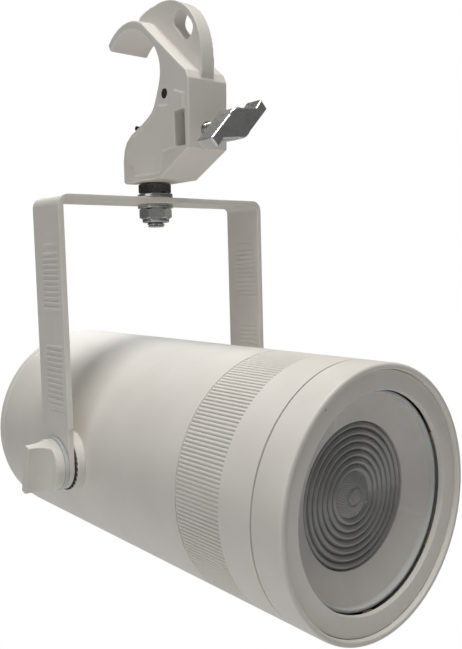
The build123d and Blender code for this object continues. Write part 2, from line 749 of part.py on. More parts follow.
def hook_outline():
    """Side view of the clamp's main casting, as one closed wire in (y, z)."""
    hook_r = TUBE_R + HOOK_WALL
    tip = round_point(TUBE_R, HOOK_TIP)
    tip_out = round_point(hook_r, HOOK_TIP + 2)
    mouth = round_point(TUBE_R, MOUTH)
    shoulder = round_point(hook_r, HOOK_SHOULDER)
    front = from_point(TOE, (-8.5, -2.7), (-0.1, -5.9), (4.6, -9.3), (7.4, -13.7), (8.8, -20.1),
                       (8.8, 1.2 - BASE_DROP), (7.6, -BASE_DROP))
    back = from_point(HEEL, (1.4, -BASE_DROP), (-CLAMP_DEPTH, -19.2), (-CLAMP_DEPTH - 1.2, 15.0),
                      (-24.4, 19.4), (-18.9, 23.8))
    deep = from_point(HEEL, (0.9, 33.4), (-1.7, 22.4), (2.6, 10.2))
    start = Vector(*round_point(-1, MOUTH - 90))
    end = Vector(*front[1]) - Vector(*front[0])
    parts = ThreePointArc(tip, round_point(TUBE_R, 90), mouth)
    parts += Spline(mouth, *deep, front[0], tangents=[start, end])
    parts += Polyline(*front, *back, shoulder)
    parts += ThreePointArc(shoulder, (0, hook_r), tip_out)
    parts += Line(tip_out, tip)
    return parts


def eye_rib():
    """The thin rib on the back of the hook that carries the safety eye."""
    crown = from_point(BROW, (28.3, 8.0), (23.0, 9.8), (12.0, 11.0), (1.0, 10.6), (-9.0, 7.0), (-17.0, 1.3),
                       (-23.0, -7.0), (-26.0, -15.8), (-27.0, -24.0), (-26.8, -32.0))
    foot = from_point(HEEL, (-25.8, 15.2), (-18.5, 15.0), (-4.0, 33.5))
    inner = from_point(BROW, (7.0, -6.5), (29.0, 3.3), (28.3, 8.0))
    outline = Spline(*crown) + Polyline(crown[-1], *foot, *inner)
    rib = extrude(make_face(Plane.YZ * outline), EYE_RIB / 2, both=True)
    slot = Pos(*from_point(BROW, (-12.0, -5.0))[0]) * Rot(0, 0, EYE_SLOT_SLANT) * SlotOverall(
        EYE_SLOT_LENGTH, EYE_SLOT_WIDTH)
    return rib - extrude(Plane.YZ * slot, EYE_RIB, both=True)


def side_panel():
    """The raised land on both side faces."""
    upper = from_point(HEEL, (-22.1, 8.1), (-14.6, 10.7), (-8.4, 4.1), (0.3, 5.4), (7.6, -0.8))
    front = from_point(TOE, (-10.5, -5.4), (-2.1, -8.6), (2.7, -13.9), (3.8, -20.6), (-2.8, -23.8),
                       (-3.3, -28.8))
    lower = from_point(HEEL, (0.6, -29.1), (-2.6, -18.9), (-6.7, -17.8), (-21.2, -17.8))
    return side_plate(upper + front + lower, CLAMP_WIDTH + 2 * CLAMP_PANEL)


def tongue_slot():
    """The mid-plane slot in which the tongue swings, open to the throat and the front."""
    front = from_point(TOE, (14.0, -19.0), (14.0, 9.5))
    back = from_point(HEEL, (5.5, 10.5), (0.5, 16.7), (-7.5, 16.7), (-13.1, 12.7), (-13.1, -19.0))
    return side_plate(front + back, SLOT_WIDTH)


def bolt_pocket():
    """The T-slot that takes the yoke bolt's head from the hook side."""
    half = BOLT_HEAD_AF / 2 + RUN
    head_room = Pos(0, BOLT_Y, BOLT_HEAD_Z) * extrude(
        Rectangle(2 * half, 2 * half + 40, align=(Align.CENTER, Align.MIN)), BOLT_POCKET)
    head_room = Pos(0, -BOLT_HEAD_AF / math.sqrt(3) - RUN, 0) * head_room
    neck = Pos(0, BOLT_Y, CLAMP_BASE_Z) * extrude(
        Rectangle(2 * (BOLT_R + RUN), 40, align=(Align.CENTER, Align.MIN)), BASE_WEB)
    round_end = rod(BOLT_R + RUN, CLAMP_BASE_Z, BOLT_HEAD_Z, (0, BOLT_Y))
    return [head_room, neck, round_end]


def clamp_body():
    outline = make_face(Plane.YZ * hook_outline())
    body = extrude(outline, CLAMP_WIDTH / 2, both=True)
    rims = body.edges().group_by(Axis.X)
    body = chamfer(rims[0] + rims[-1], CLAMP_BEVEL)
    body += side_panel()
    body += eye_rib()
    body -= tongue_slot()
    for cut in bolt_pocket():
        body -= cut
    body -= along_x(rod(TONGUE_PIN_R, -CLAMP_WIDTH, CLAMP_WIDTH), 0, *PIN_YZ)
    window = Box(2 * CLAMP_WIDTH, NUT_THICK + NUT_ROOM, WINDOW_HEIGHT)
    body -= Pos(0, WINDOW_Y, SCREW_Z + WINDOW_RISE) * window
    tunnel = Pos(0, CLAMP_BACK_Y - 5, SCREW_Z) * Rot(-90, 0, 0) * rod(CLAMP_SCREW_R + EASY, 0, 20)
    return body - tunnel


def tongue_pin():
    return along_x(rod(TONGUE_PIN_R, -CLAMP_WIDTH / 2, CLAMP_WIDTH / 2), 0, *PIN_YZ)


def clamp_tongue():
    """A bell crank: the long arm presses the tube, the short leg meets the screw."""
    reach = TUBE_R + RUN
    leg_low = SCREW_Z - CLAMP_SCREW_R
    tip = (TONGUE_REACH, -math.sqrt(reach**2 - TONGUE_REACH**2))
    start = (-17.5, -math.sqrt(reach**2 - 17.5**2))
    root = from_point(PIN_YZ, (-4.0, -2.4), (1.0, 4.6))
    under = from_point(TOE, (8.8, -0.1), (7.4, -2.5), (-1.0, -5.2))
    heel = from_point(HEEL, (10.0, -4.1), (0.9, -1.5), (0.9, leg_low - HEEL[1]))
    leg = [(LEG_FACE_Y, leg_low), (LEG_FACE_Y, root[0][1] - 1.6)]
    edges = Line(root[1], start) + ThreePointArc(start, (0.0, -reach), tip)
    edges += Polyline(tip, *under, *heel, *leg, *root)
    plate = extrude(make_face(Plane.YZ * edges), TONGUE_WIDTH / 2, both=True)
    plate += along_x(rod(TONGUE_BOSS_R, -TONGUE_WIDTH / 2, TONGUE_WIDTH / 2), 0, *PIN_YZ)
    return plate - along_x(rod(TONGUE_PIN_R + RUN, -TONGUE_WIDTH, TONGUE_WIDTH), 0, *PIN_YZ)


def on_screw(shape):
    """Lays a shape modelled up +Z along the clamp screw, +Z pointing out of the clamp."""
    return Pos(0, 0, SCREW_Z) * Rot(90, 0, 0) * shape


def clamp_pad():
    tip = -LEG_FACE_Y + PAD_REST_GAP
    pad = rod(PAD_R, tip, tip + PAD_LENGTH)
    return on_screw(fillet(pad.edges().sort_by(Axis.Z)[0], PAD_DOME))


def clamp_nut():
    nut = Box(NUT_SIDE, NUT_SIDE, NUT_THICK) - rod(CLAMP_SCREW_R + RUN, -NUT_THICK, NUT_THICK)
    return on_screw(Pos(0, 0, -WINDOW_Y) * nut)


def clamp_screw():
    start = -LEG_FACE_Y + PAD_REST_GAP + PAD_LENGTH
    end = -CLAMP_BACK_Y + WING_REACH + SCREW_HOLD
    return on_screw(rod(CLAMP_SCREW_R, start, end))


def clamp_wing():
    """The cast wing: a hub with two blades, straight on one side and waisted on the other."""
    blade = [(0, WING_HUB_R), WING_TIP, WING_TIP_FOOT, WING_WAIST, WING_ROOT]
    other = [(-x, -y) for x, y in blade]
    outline = make_face(Polyline(*blade, *other, close=True)) + Circle(WING_HUB_R)
    wing = extrude(outline, WING_DEPTH)
    wing = chamfer(wing.edges().group_by(Axis.Z)[-1], WING_EDGE)
    wing += rod(WING_NECK_R, -WING_NECK, 1)
    wing -= rod(CLAMP_SCREW_R, -WING_NECK, SCREW_HOLD)
    return on_screw(Pos(0, 0, -CLAMP_BACK_Y + WING_REACH) * Rot(0, 0, WING_SLANT) * wing)


def bolt_stack():
    """The yoke bolt and what is threaded on it, from the clamp's base down."""
    tail = YOKE_TOP_Z - YOKE_THICK - 2 * FACE_GAP - WASHER - LOCK_NUT - BOLT_TAIL
    bolt = hexagon(BOLT_HEAD_AF, BOLT_HEAD_Z, BOLT_HEAD_Z + BOLT_HEAD) + rod(BOLT_R, tail, BOLT_HEAD_Z)
    bolt = chamfer(bolt.edges().sort_by(Axis.Z)[0], 0.8)
    jam_top = CLAMP_BASE_Z
    washer_top = YOKE_TOP_Z + FACE_GAP + FRICTION_WASHER + WASHER
    low_top = YOKE_TOP_Z - YOKE_THICK - FACE_GAP
    nut_top = low_top - WASHER
    collar_low = nut_top - LOCK_NUT
    nut = hexagon(LOCK_NUT_AF, collar_low + LOCK_COLLAR, nut_top, BOLT_R)
    nut += ring(LOCK_COLLAR_R, LOCK_COLLAR_R - 1.0, collar_low, collar_low + LOCK_COLLAR)
    pieces = {
        "yoke_bolt": bolt,
        "jam_nut": hexagon(JAM_NUT_AF, jam_top - JAM_NUT, jam_top, BOLT_R),
        "pan_washer_top": ring(WASHER_R, BOLT_R + EASY, washer_top - WASHER, washer_top),
        "pan_friction_washer": ring(WASHER_R, BOLT_R + EASY, washer_top - WASHER - FRICTION_WASHER,
                                    washer_top - WASHER),
        "pan_washer_bottom": ring(WASHER_R, BOLT_R + EASY, low_top - WASHER, low_top),
        "lock_nut": nut,
        "lock_nut_insert": ring(LOCK_COLLAR_R - 1.0, BOLT_R, collar_low, collar_low + LOCK_COLLAR),
    }
    return {name: Pos(0, BOLT_Y, 0) * shape for name, shape in pieces.items()}


HEAD_PIECES = {
    "housing_tube": housing_tube,
    "rear_cover": rear_cover,
    "rear_cover_screws": rear_cover_screws,
    "tie_rods": tie_rods,
    "gland_body": gland_body,
    "gland_cap": gland_cap,
    "gland_nut": gland_nut,
    "heat_sink": heat_sink,
    "led_board": led_board,
    "led_emitter": led_emitter,
    "led_holder": led_holder,
    "led_holder_screws": led_holder_screws,
    "reflector": reflector,
    "driver_plate": driver_plate,
    "driver_case": driver_case,
    "terminal_block": terminal_block,
    "lens_tube": lens_tube,
    "zoom_ring": zoom_ring,
    "front_bezel": front_bezel,
    "face_ring": face_ring,
    "face_ring_clips": face_ring_clips,
    "lens_carriage": lens_carriage,
    "zoom_guide_pins": zoom_guide_pins,
    "lens": lens,
    "lens_retainer": lens_retainer,
}
SIDE_PIECES = {
    "pivot_boss": pivot_boss,
    "pivot_insert": pivot_insert,
    "tooth_disc": tooth_disc,
    "knob_washer": knob_washer,
    "tilt_knob": tilt_knob,
    "tilt_stud": tilt_stud,
}
CLAMP_PIECES = {
    "yoke": yoke,
    "clamp_body": clamp_body,
    "tongue_pin": tongue_pin,
    "clamp_tongue": clamp_tongue,
    "clamp_pad": clamp_pad,
    "clamp_nut": clamp_nut,
    "clamp_screw": clamp_screw,
    "clamp_wing": clamp_wing,
}

for name, make in HEAD_PIECES.items():
    save(name, head(make()))
save("zoom_glide_rear", head(zoom_glide(RING_S + GLIDE_INSET)))
save("zoom_glide_front", head(zoom_glide(RING_END_S - GLIDE_INSET - GLIDE_LENGTH)))
for name, make in SIDE_PIECES.items():
    save(name + "_left", head(make(-1)))
    save(name + "_right", head(make(1)))
for name, make in CLAMP_PIECES.items():
    save(name, make())
for name, shape in bolt_stack().items():
    save(name, shape)
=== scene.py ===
import json
import math

import bmesh
import bpy
from mathutils import Matrix, Vector


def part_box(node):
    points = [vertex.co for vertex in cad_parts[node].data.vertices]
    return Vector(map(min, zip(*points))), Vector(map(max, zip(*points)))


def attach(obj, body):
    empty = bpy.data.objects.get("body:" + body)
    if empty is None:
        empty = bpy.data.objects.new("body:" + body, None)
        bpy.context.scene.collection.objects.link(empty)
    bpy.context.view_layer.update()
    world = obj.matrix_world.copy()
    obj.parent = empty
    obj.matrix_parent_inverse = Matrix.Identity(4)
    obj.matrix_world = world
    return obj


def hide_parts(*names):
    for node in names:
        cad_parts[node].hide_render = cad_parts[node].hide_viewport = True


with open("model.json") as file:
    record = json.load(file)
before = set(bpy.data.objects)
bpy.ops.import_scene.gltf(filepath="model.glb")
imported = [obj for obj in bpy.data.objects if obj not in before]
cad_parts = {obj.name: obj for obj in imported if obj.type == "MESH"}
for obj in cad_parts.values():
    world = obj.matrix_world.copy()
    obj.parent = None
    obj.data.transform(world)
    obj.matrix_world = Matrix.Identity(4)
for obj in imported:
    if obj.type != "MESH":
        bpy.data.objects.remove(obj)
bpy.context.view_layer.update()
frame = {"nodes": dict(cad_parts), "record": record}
MM = 0.001

# ------------------------------------------------------------------ places read from the frame


def span(node, axis):
    """Lowest and highest coordinate of a CAD node along one axis."""
    low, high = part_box(node)
    return low[axis], high[axis]


X, Y, Z = 0, 1, 2
BARREL_R = span("housing_tube", X)[1]
LAMP_Z = sum(span("housing_tube", Z)) / 2
BOLT_Y = sum(span("yoke", Y)) / 2
STRIP = 3.0 * MM
NUT_ACROSS = 16 * MM
BOLT_R = 5 * MM


# ------------------------------------------------------------------ mesh helpers


def finish_mesh(name, mesh, sharp=38.0):
    """Cleans a mesh, smooths it up to the sharp angle and makes it an object."""
    work = bmesh.new()
    work.from_mesh(mesh)
    bmesh.ops.remove_doubles(work, verts=work.verts, dist=1e-6)
    bmesh.ops.dissolve_degenerate(work, dist=1e-7, edges=work.edges)
    bmesh.ops.recalc_face_normals(work, faces=work.faces)
    work.to_mesh(mesh)
    work.free()
    mesh.shade_smooth()
    mesh.set_sharp_from_angle(angle=math.radians(sharp))
    mesh.validate()
    piece = bpy.data.objects.new(name, mesh)
    bpy.context.scene.collection.objects.link(piece)
    return piece


def grid_piece(name, rows, loop_rows=True, loop_columns=True, sharp=38.0):
    """A piece from rows of points, each row joined to the next."""
    count = len(rows[0])
    points = [p for row in rows for p in row]
    faces = []
    for i in range(len(rows) if loop_rows else len(rows) - 1):
        for j in range(count if loop_columns else count - 1):
            i2, j2 = (i + 1) % len(rows), (j + 1) % count
            faces.append((i * count + j, i * count + j2, i2 * count + j2, i2 * count + j))
    mesh = bpy.data.meshes.new(name)
    mesh.from_pydata(points, [], faces)
    return finish_mesh(name, mesh, sharp)


def rounded(corners, steps=5):
    """A closed outline whose corners (x, y, radius) are rounded where a radius is given."""
    out = []
    for i, corner in enumerate(corners):
        here = Vector(corner[:2])
        radius = corner[2] if len(corner) > 2 else 0.0
        before = Vector(corners[i - 1][:2]) - here
        after = Vector(corners[(i + 1) % len(corners)][:2]) - here
        if radius <= 0 or before.length < 1e-9 or after.length < 1e-9:
            out.append(tuple(here))
            continue
        before.normalize()
        after.normalize()
        half = before.angle(after) / 2
        reach = radius / math.tan(half)
        middle = here + (before + after).normalized() * (radius / math.sin(half))
        start = here + before * reach - middle
        turn = start.angle_signed(here + after * reach - middle)
        for k in range(steps + 1):
            arm = start.copy()
            arm.rotate(Matrix.Rotation(-turn * k / steps, 2))
            out.append(tuple(middle + arm))
    return out


def lathe(name, outline, place, segments=256, sharp=38.0):
    """A closed (radius, height) outline turned full circle; place(x, y, height) gives the point."""
    rows = []
    for k in range(segments):
        turn = 2 * math.pi * k / segments
        rows.append([place(r * math.cos(turn), r * math.sin(turn), h) for r, h in outline])
    return grid_piece(name, rows, sharp=sharp)


def on_lamp(x, up, y):
    """A point from its offsets across the lamp and its place along it."""
    return (x, y, LAMP_Z + up)


def upright(x, y, z):
    """A point on the yoke bolt's axis frame."""
    return (x, BOLT_Y + y, z)


def along_side(side):
    """Places points round the tilt axis, outward on one side."""
    def place(a, b, x):
        return (side * x, BOLT_Y + a, LAMP_Z + b)
    return place


def baked(piece, name):
    """A new mesh with the piece's modifiers applied, in place of the piece."""
    seen = piece.evaluated_get(bpy.context.evaluated_depsgraph_get())
    mesh = bpy.data.meshes.new_from_object(seen)
    mesh.name = name
    bpy.data.objects.remove(piece)
    done = bpy.data.objects.new(name, mesh)
    bpy.context.scene.collection.objects.link(done)
    return done


def cast_copy(node, name, voxel, passes, factor=0.5):
    """The CAD node as a casting: remeshed finely and relaxed, so that its edges are soft."""
    source = bpy.data.objects.new(name + "_raw", frame["nodes"][node].data.copy())
    bpy.context.scene.collection.objects.link(source)
    remesh = source.modifiers.new("Remesh", "REMESH")
    remesh.mode = "VOXEL"
    remesh.voxel_size = voxel
    relax = source.modifiers.new("Relax", "SMOOTH")
    relax.factor = factor
    relax.iterations = passes
    piece = baked(source, name)
    piece.data.shade_smooth()
    return piece


def plate(name, outer, holes, low, high, bevel, place, steps=3):
    """A flat plate with rounded edges: 2D outlines filled and given their thickness."""
    curve = bpy.data.curves.new(name, "CURVE")
    curve.dimensions = "2D"
    curve.fill_mode = "BOTH"
    for outline in [outer] + holes:
        spline = curve.splines.new("POLY")
        spline.points.add(len(outline) - 1)
        spline.use_cyclic_u = True
        for point, (x, y) in zip(spline.points, outline):
            point.co = (x * 1000, y * 1000, 0, 1)
    curve.extrude = (high - low) * 500 - bevel * 1000
    curve.bevel_depth = bevel * 1000
    curve.bevel_resolution = steps
    curve.offset = -bevel * 1000
    raw = bpy.data.objects.new(name + "_raw", curve)
    bpy.context.scene.collection.objects.link(raw)
    bpy.context.view_layer.update()
    piece = baked(raw, name)
    middle = (low + high) / 2
    for vertex in piece.data.vertices:
        vertex.co = place(vertex.co.x * MM, vertex.co.y * MM, middle + vertex.co.z * MM)
    mesh = piece.data
    bpy.data.objects.remove(piece)
    return finish_mesh(name, mesh, 30.0)


def circle(radius, count, middle=(0.0, 0.0)):
    """A round outline."""
    return [(middle[0] + radius * math.cos(2 * math.pi * k / count),
             middle[1] + radius * math.sin(2 * math.pi * k / count)) for k in range(count)]


def slot_outline(length, width, middle, steps=8):
    """A slot with half-round ends, lengthwise in x."""
    half = length / 2 - width / 2
    out = []
    for side in (1, -1):
        for k in range(steps + 1):
            turn = math.pi * (k / steps - 0.5) + (0 if side > 0 else math.pi)
            out.append((middle[0] + side * half + width / 2 * math.cos(turn),
                        middle[1] + width / 2 * math.sin(turn)))
    return out


def smooth_step(value):
    """Eases from 0 to 1."""
    value = min(1.0, max(0.0, value))
    return value * value * (3 - 2 * value)


# ------------------------------------------------------------------ materials


class Nodes:
    """A small wrapper for building one material's node tree."""

    def __init__(self, name):
        self.material = bpy.data.materials.new(name)
        self.material.use_nodes = True
        self.tree = self.material.node_tree
        self.shader = self.tree.nodes["Principled BSDF"]
        self.place = self.add("ShaderNodeTexCoord").outputs["Object"]

    def add(self, kind, **values):
        node = self.tree.nodes.new(kind)
        for key, value in values.items():
            setattr(node, key, value)
        return node

    def link(self, source, target):
        self.tree.links.new(source, target)

    def noise(self, scale, detail=2.0, rough=0.5):
        node = self.add("ShaderNodeTexNoise")
        node.inputs["Scale"].default_value = scale
        node.inputs["Detail"].default_value = detail
        node.inputs["Roughness"].default_value = rough
        self.link(self.place, node.inputs["Vector"])
        return node.outputs["Fac"]

    def specks(self, scale, reach):
        """1 inside sparse small round specks and 0 elsewhere."""
        node = self.add("ShaderNodeTexVoronoi")
        node.inputs["Scale"].default_value = scale
        self.link(self.place, node.inputs["Vector"])
        rare = self.add("ShaderNodeSeparateColor")
        self.link(node.outputs["Color"], rare.inputs["Color"])
        chosen = self.step(rare.outputs["Red"], 0.90, 0.92, 0.0, 1.0)
        near = self.step(node.outputs["Distance"], reach * 0.5, reach, 1.0, 0.0)
        both = self.add("ShaderNodeMath", operation="MULTIPLY")
        self.link(chosen, both.inputs[0])
        self.link(near, both.inputs[1])
        return both.outputs[0]

    def step(self, value, low, high, out_low, out_high):
        node = self.add("ShaderNodeMapRange")
        node.inputs["From Min"].default_value = low
        node.inputs["From Max"].default_value = high
        node.inputs["To Min"].default_value = out_low
        node.inputs["To Max"].default_value = out_high
        self.link(value, node.inputs["Value"])
        return node.outputs["Result"]

    def mix(self, factor, first, second):
        node = self.add("ShaderNodeMix", data_type="RGBA")
        self.link(factor, node.inputs["Factor"])
        for socket, value in ((node.inputs["A"], first), (node.inputs["B"], second)):
            if isinstance(value, tuple):
                socket.default_value = (*value, 1.0)
            else:
                self.link(value, socket)
        return node.outputs["Result"]

    def wear_and_highlight(self):
        """Rises to 1 on edges that stick out; it brightens edges, part rubbed wear and part painted highlight.
        """
        geometry = self.add("ShaderNodeNewGeometry")
        return self.step(geometry.outputs["Pointiness"], 0.515, 0.56, 0.0, 1.0)

    def painted_crevice_shade(self):
        """Rises in grooves and inner corners: the mask for painted shade there, darker as if less light
        reached them.
        """
        geometry = self.add("ShaderNodeNewGeometry")
        return self.step(geometry.outputs["Pointiness"], 0.485, 0.44, 0.0, 0.18)

    def bump(self, *layers):
        """Stacks (height socket, strength, depth in metres) layers into the normal."""
        last = None
        for height, strength, depth in layers:
            node = self.add("ShaderNodeBump")
            node.inputs["Strength"].default_value = strength
            node.inputs["Distance"].default_value = depth
            self.link(height, node.inputs["Height"])
            if last:
                self.link(last, node.inputs["Normal"])
            last = node.outputs["Normal"]
        self.link(last, self.shader.inputs["Normal"])

    def set(self, **values):
        for key, value in values.items():
            socket = self.shader.inputs[key.replace("_", " ")]
            socket.default_value = (*value, 1.0) if isinstance(value, tuple) else value

    def colour(self, source):
        self.link(source, self.shader.inputs["Base Color"])

    def roughness(self, source, low, high):
        self.link(self.step(source, 0.3, 0.7, low, high), self.shader.inputs["Roughness"])


def coat(name, colour, shade, rough=(0.40, 0.52)):
    """Satin powder coat: fine orange peel, faint mottling, pits, paler edges (part wear, part painted
    highlight) and painted shade in grooves and corners.
    """
    n = Nodes(name)
    cloud = n.noise(38.0, 3.0)
    peel = n.noise(1400.0, 2.0, 0.55)
    fine = n.noise(5200.0, 1.0)
    base = n.mix(n.step(cloud, 0.35, 0.65, 0.0, 1.0), colour, shade)
    base = n.mix(n.step(fine, 0.62, 0.74, 0.0, 0.28), base, tuple(c * 0.80 for c in shade))
    pits = n.specks(95.0, 0.05)
    base = n.mix(n.step(pits, 0.0, 1.0, 0.0, 0.75), base, tuple(c * 0.30 for c in shade))
    # paler edges: part wear, part painted highlight
    edge = n.step(n.wear_and_highlight(), 0.0, 1.0, 0.0, 0.35)
    base = n.mix(edge, base, tuple(min(0.92, c * 1.10) for c in colour))
    # painted shade: grooves and inner corners darkened as if less light reached them
    base = n.mix(n.painted_crevice_shade(), base, tuple(c * 0.45 for c in shade))
    n.colour(base)
    n.roughness(peel, *rough)
    n.bump((peel, 0.16, 0.00006), (fine, 0.10, 0.00002))
    n.set(Specular_IOR_Level=0.45)
    return n.material


def metal(name, colour, shade, rough=(0.22, 0.38), scale=900.0, depth=0.00003):
    """Plated or cast metal with streaks, blotches and brighter edges, part rubbed wear and part painted
    highlight.
    """
    n = Nodes(name)
    blotch = n.noise(160.0, 4.0, 0.6)
    streak = n.noise(scale, 3.0, 0.6)
    base = n.mix(n.step(blotch, 0.35, 0.7, 0.0, 0.5), colour, shade)
    # brighter edges: part rubbed wear, part painted highlight
    edge = n.step(n.wear_and_highlight(), 0.0, 1.0, 0.0, 0.6)
    base = n.mix(edge, base, tuple(min(0.95, c * 1.35 + 0.03) for c in colour))
    n.colour(base)
    n.roughness(streak, *rough)
    n.bump((streak, 0.25, depth), (blotch, 0.15, depth * 2))
    n.set(Metallic=1.0)
    return n.material


def moulded(name, colour, shade, rough=(0.42, 0.6), scale=1800.0, depth=0.00004):
    """Moulded plastic: a fine spark-eroded grain and slight mottling."""
    n = Nodes(name)
    cloud = n.noise(60.0, 3.0)
    grain = n.noise(scale, 2.0, 0.6)
    base = n.mix(n.step(cloud, 0.35, 0.65, 0.0, 1.0), colour, shade)
    # paler edges: part wear, part painted highlight
    edge = n.step(n.wear_and_highlight(), 0.0, 1.0, 0.0, 0.35)
    base = n.mix(edge, base, tuple(min(0.95, c * 1.12 + 0.01) for c in colour))
    n.colour(base)
    n.roughness(grain, *rough)
    n.bump((grain, 0.2, depth))
    return n.material


def lens_glass():
    """Clear moulded optic over a dark cavity: glossy, fine moulding marks; its grey, mostly opaque base is
    partly painted shade standing in for the dark cavity seen through it.
    """
    n = Nodes("lens_optic")
    cloud = n.noise(70.0, 3.0)
    fine = n.noise(2400.0, 2.0)
    # painted shade: the grey base stands in for the dark cavity seen through the clear optic
    n.colour(n.mix(n.step(cloud, 0.3, 0.7, 0.0, 1.0), (0.36, 0.36, 0.35), (0.28, 0.28, 0.27)))
    n.roughness(fine, 0.10, 0.2)
    n.bump((fine, 0.08, 0.00002))
    n.set(Transmission_Weight=0.18, IOR=1.6, Coat_Weight=0.8, Coat_Roughness=0.05, Coat_IOR=1.7)
    return n.material


WHITE = (0.800, 0.772, 0.725)
WHITE_SHADE = (0.765, 0.735, 0.685)
MATERIALS = {
    "white_coat": coat("powder_coat_white", WHITE, WHITE_SHADE),
    "white_knob": moulded("knob_white", WHITE, WHITE_SHADE, (0.45, 0.6)),
    "grey_baffle": moulded("baffle_matt", (0.660, 0.640, 0.605), (0.62, 0.60, 0.565), (0.5, 0.65)),
    "pale_washer": moulded("washer_pale", (0.62, 0.66, 0.65), (0.56, 0.60, 0.59), (0.25, 0.4)),
    "black_steel": metal("steel_blackened", (0.095, 0.092, 0.088), (0.05, 0.05, 0.05),
                         (0.22, 0.36), 900.0, 0.000012),
    "zinc_steel": metal("steel_zinc", (0.52, 0.53, 0.51), (0.30, 0.31, 0.30), (0.16, 0.3)),
    "cast_zinc": metal("zinc_cast", (0.72, 0.72, 0.70), (0.50, 0.50, 0.485), (0.24, 0.38), 420.0, 0.00006),
    "nylon": moulded("nylon_natural", (0.74, 0.74, 0.68), (0.70, 0.70, 0.64), (0.35, 0.5)),
    "blue_nylon": moulded("nylon_insert", (0.10, 0.16, 0.26), (0.08, 0.13, 0.22), (0.35, 0.5)),
    "clear_lens": lens_glass(),
    "bare_aluminium": metal("aluminium_milled", (0.72, 0.72, 0.71), (0.62, 0.62, 0.62), (0.3, 0.45)),
    "black_anodised": metal("aluminium_black", (0.022, 0.022, 0.023), (0.014, 0.014, 0.015), (0.45, 0.6)),
    "reflector_skin": metal("reflector_bright", (0.86, 0.86, 0.86), (0.80, 0.80, 0.81), (0.08, 0.18), 300.0),
    "led_ceramic": moulded("ceramic_board", (0.88, 0.88, 0.85), (0.84, 0.84, 0.81), (0.5, 0.6)),
    "led_phosphor": moulded("phosphor", (0.86, 0.62, 0.10), (0.80, 0.55, 0.08), (0.35, 0.5)),
    "black_plastic": moulded("plastic_black", (0.022, 0.022, 0.023), (0.016, 0.016, 0.017), (0.38, 0.52)),
    "driver_plastic": moulded("plastic_pale", (0.78, 0.78, 0.75), (0.74, 0.74, 0.71), (0.45, 0.6)),
    "spring_steel": metal("spring_bronzed", (0.30, 0.22, 0.16), (0.20, 0.15, 0.11), (0.25, 0.4)),
}
SLOT_OF = {part["node"]: part["material_slot"] for part in frame["record"]["subparts"]}
BODY_OF = {node: body for body, nodes in frame["record"]["behaviour"]["bodies"].items() for node in nodes}


def dress(piece, node, stands_for=None):
    """Gives a piece its material and slot, and rides it on the body of the node it stands for."""
    piece.data.materials.clear()
    piece.data.materials.append(MATERIALS[SLOT_OF[node]])
    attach(piece, BODY_OF[node])
    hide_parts(*(stands_for or [node]))
    return piece


for node, part in frame["nodes"].items():
    if not part.material_slots:
        part.data.materials.append(None)
    for material_slot in part.material_slots:
        material_slot.material = MATERIALS[SLOT_OF[node]]


# ------------------------------------------------------------------ lamp body

BARREL_FRONT, BARREL_BACK = span("housing_tube", Y)
BAND_FRONT, RING_BACK = span("zoom_ring", Y)
RIM, BEZEL_BACK = span("front_bezel", Y)
KNURL = 30.2 * MM
KNURL_FRONT = RING_BACK - KNURL
FLUTES = 200
FLUTE_SAMPLES = 8
FLUTE_DEPTH = 0.55 * MM
BARREL_WALL = 2.5 * MM
RING_WALL = 5.0 * MM


def barrel():
    inner = BARREL_R - BARREL_WALL
    outline = rounded([
        (BARREL_R, BARREL_BACK, 0.15 * MM), (BARREL_R, BARREL_FRONT, 0.25 * MM),
        (inner, BARREL_FRONT), (inner, BARREL_BACK)])
    dress(lathe("barrel", outline, on_lamp, 320), "housing_tube")


def knurl_height(share):
    """Height of the flute profile over one pitch: a broad rounded ridge and a narrow groove."""
    away = abs(share - 0.5) * 2
    return 1 - smooth_step((away - 0.40) / 0.42)


def zoom_grip():
    """The turning ring: fluted grip with rounded ridge ends, then a plain band."""
    count = FLUTES * FLUTE_SAMPLES
    inner = BARREL_R - RING_WALL
    base = BARREL_R - FLUTE_DEPTH
    back_fade = [(0.0, 0.0), (0.25, 0.0), (0.45, 0.55), (0.7, 0.86), (1.0, 1.0)]
    stations = [(RING_BACK - d * MM, rise, 0) for d, rise in back_fade]
    stations += [(RING_BACK + (KNURL_FRONT - RING_BACK) * k / 6, 1.0, 0) for k in range(1, 6)]
    front_fade = [(0.7, 1.0, 0), (0.4, 0.95, 0), (0.2, 0.8, 0), (0.08, 0.0, 0), (0.0, 0.0, 1)]
    stations += [(KNURL_FRONT + d * MM, rise, band) for d, rise, band in front_fade]
    rows = []
    for k in range(count):
        turn = 2 * math.pi * k / count
        c, s = math.cos(turn), math.sin(turn)
        height = knurl_height((k % FLUTE_SAMPLES) / FLUTE_SAMPLES)
        row = [on_lamp(inner * c, inner * s, RING_BACK)]
        for y, rise, band in stations:
            r = BARREL_R if band else base + FLUTE_DEPTH * height * rise
            row.append(on_lamp(r * c, r * s, y))
        for r, y in band_edge(inner):
            row.append(on_lamp(r * c, r * s, y))
        rows.append(row)
    piece = grid_piece("zoom_grip", rows, sharp=50.0)
    dress(piece, "zoom_ring")


def band_edge(inner):
    """The plain band's front edge, rounded, and back inside."""
    out = []
    radius = 0.35 * MM
    for k in range(5):
        turn = math.pi / 2 * k / 4
        out.append((BARREL_R - radius + radius * math.cos(turn),
                    BAND_FRONT + radius - radius * math.sin(turn)))
    out.append((inner, BAND_FRONT))
    return out


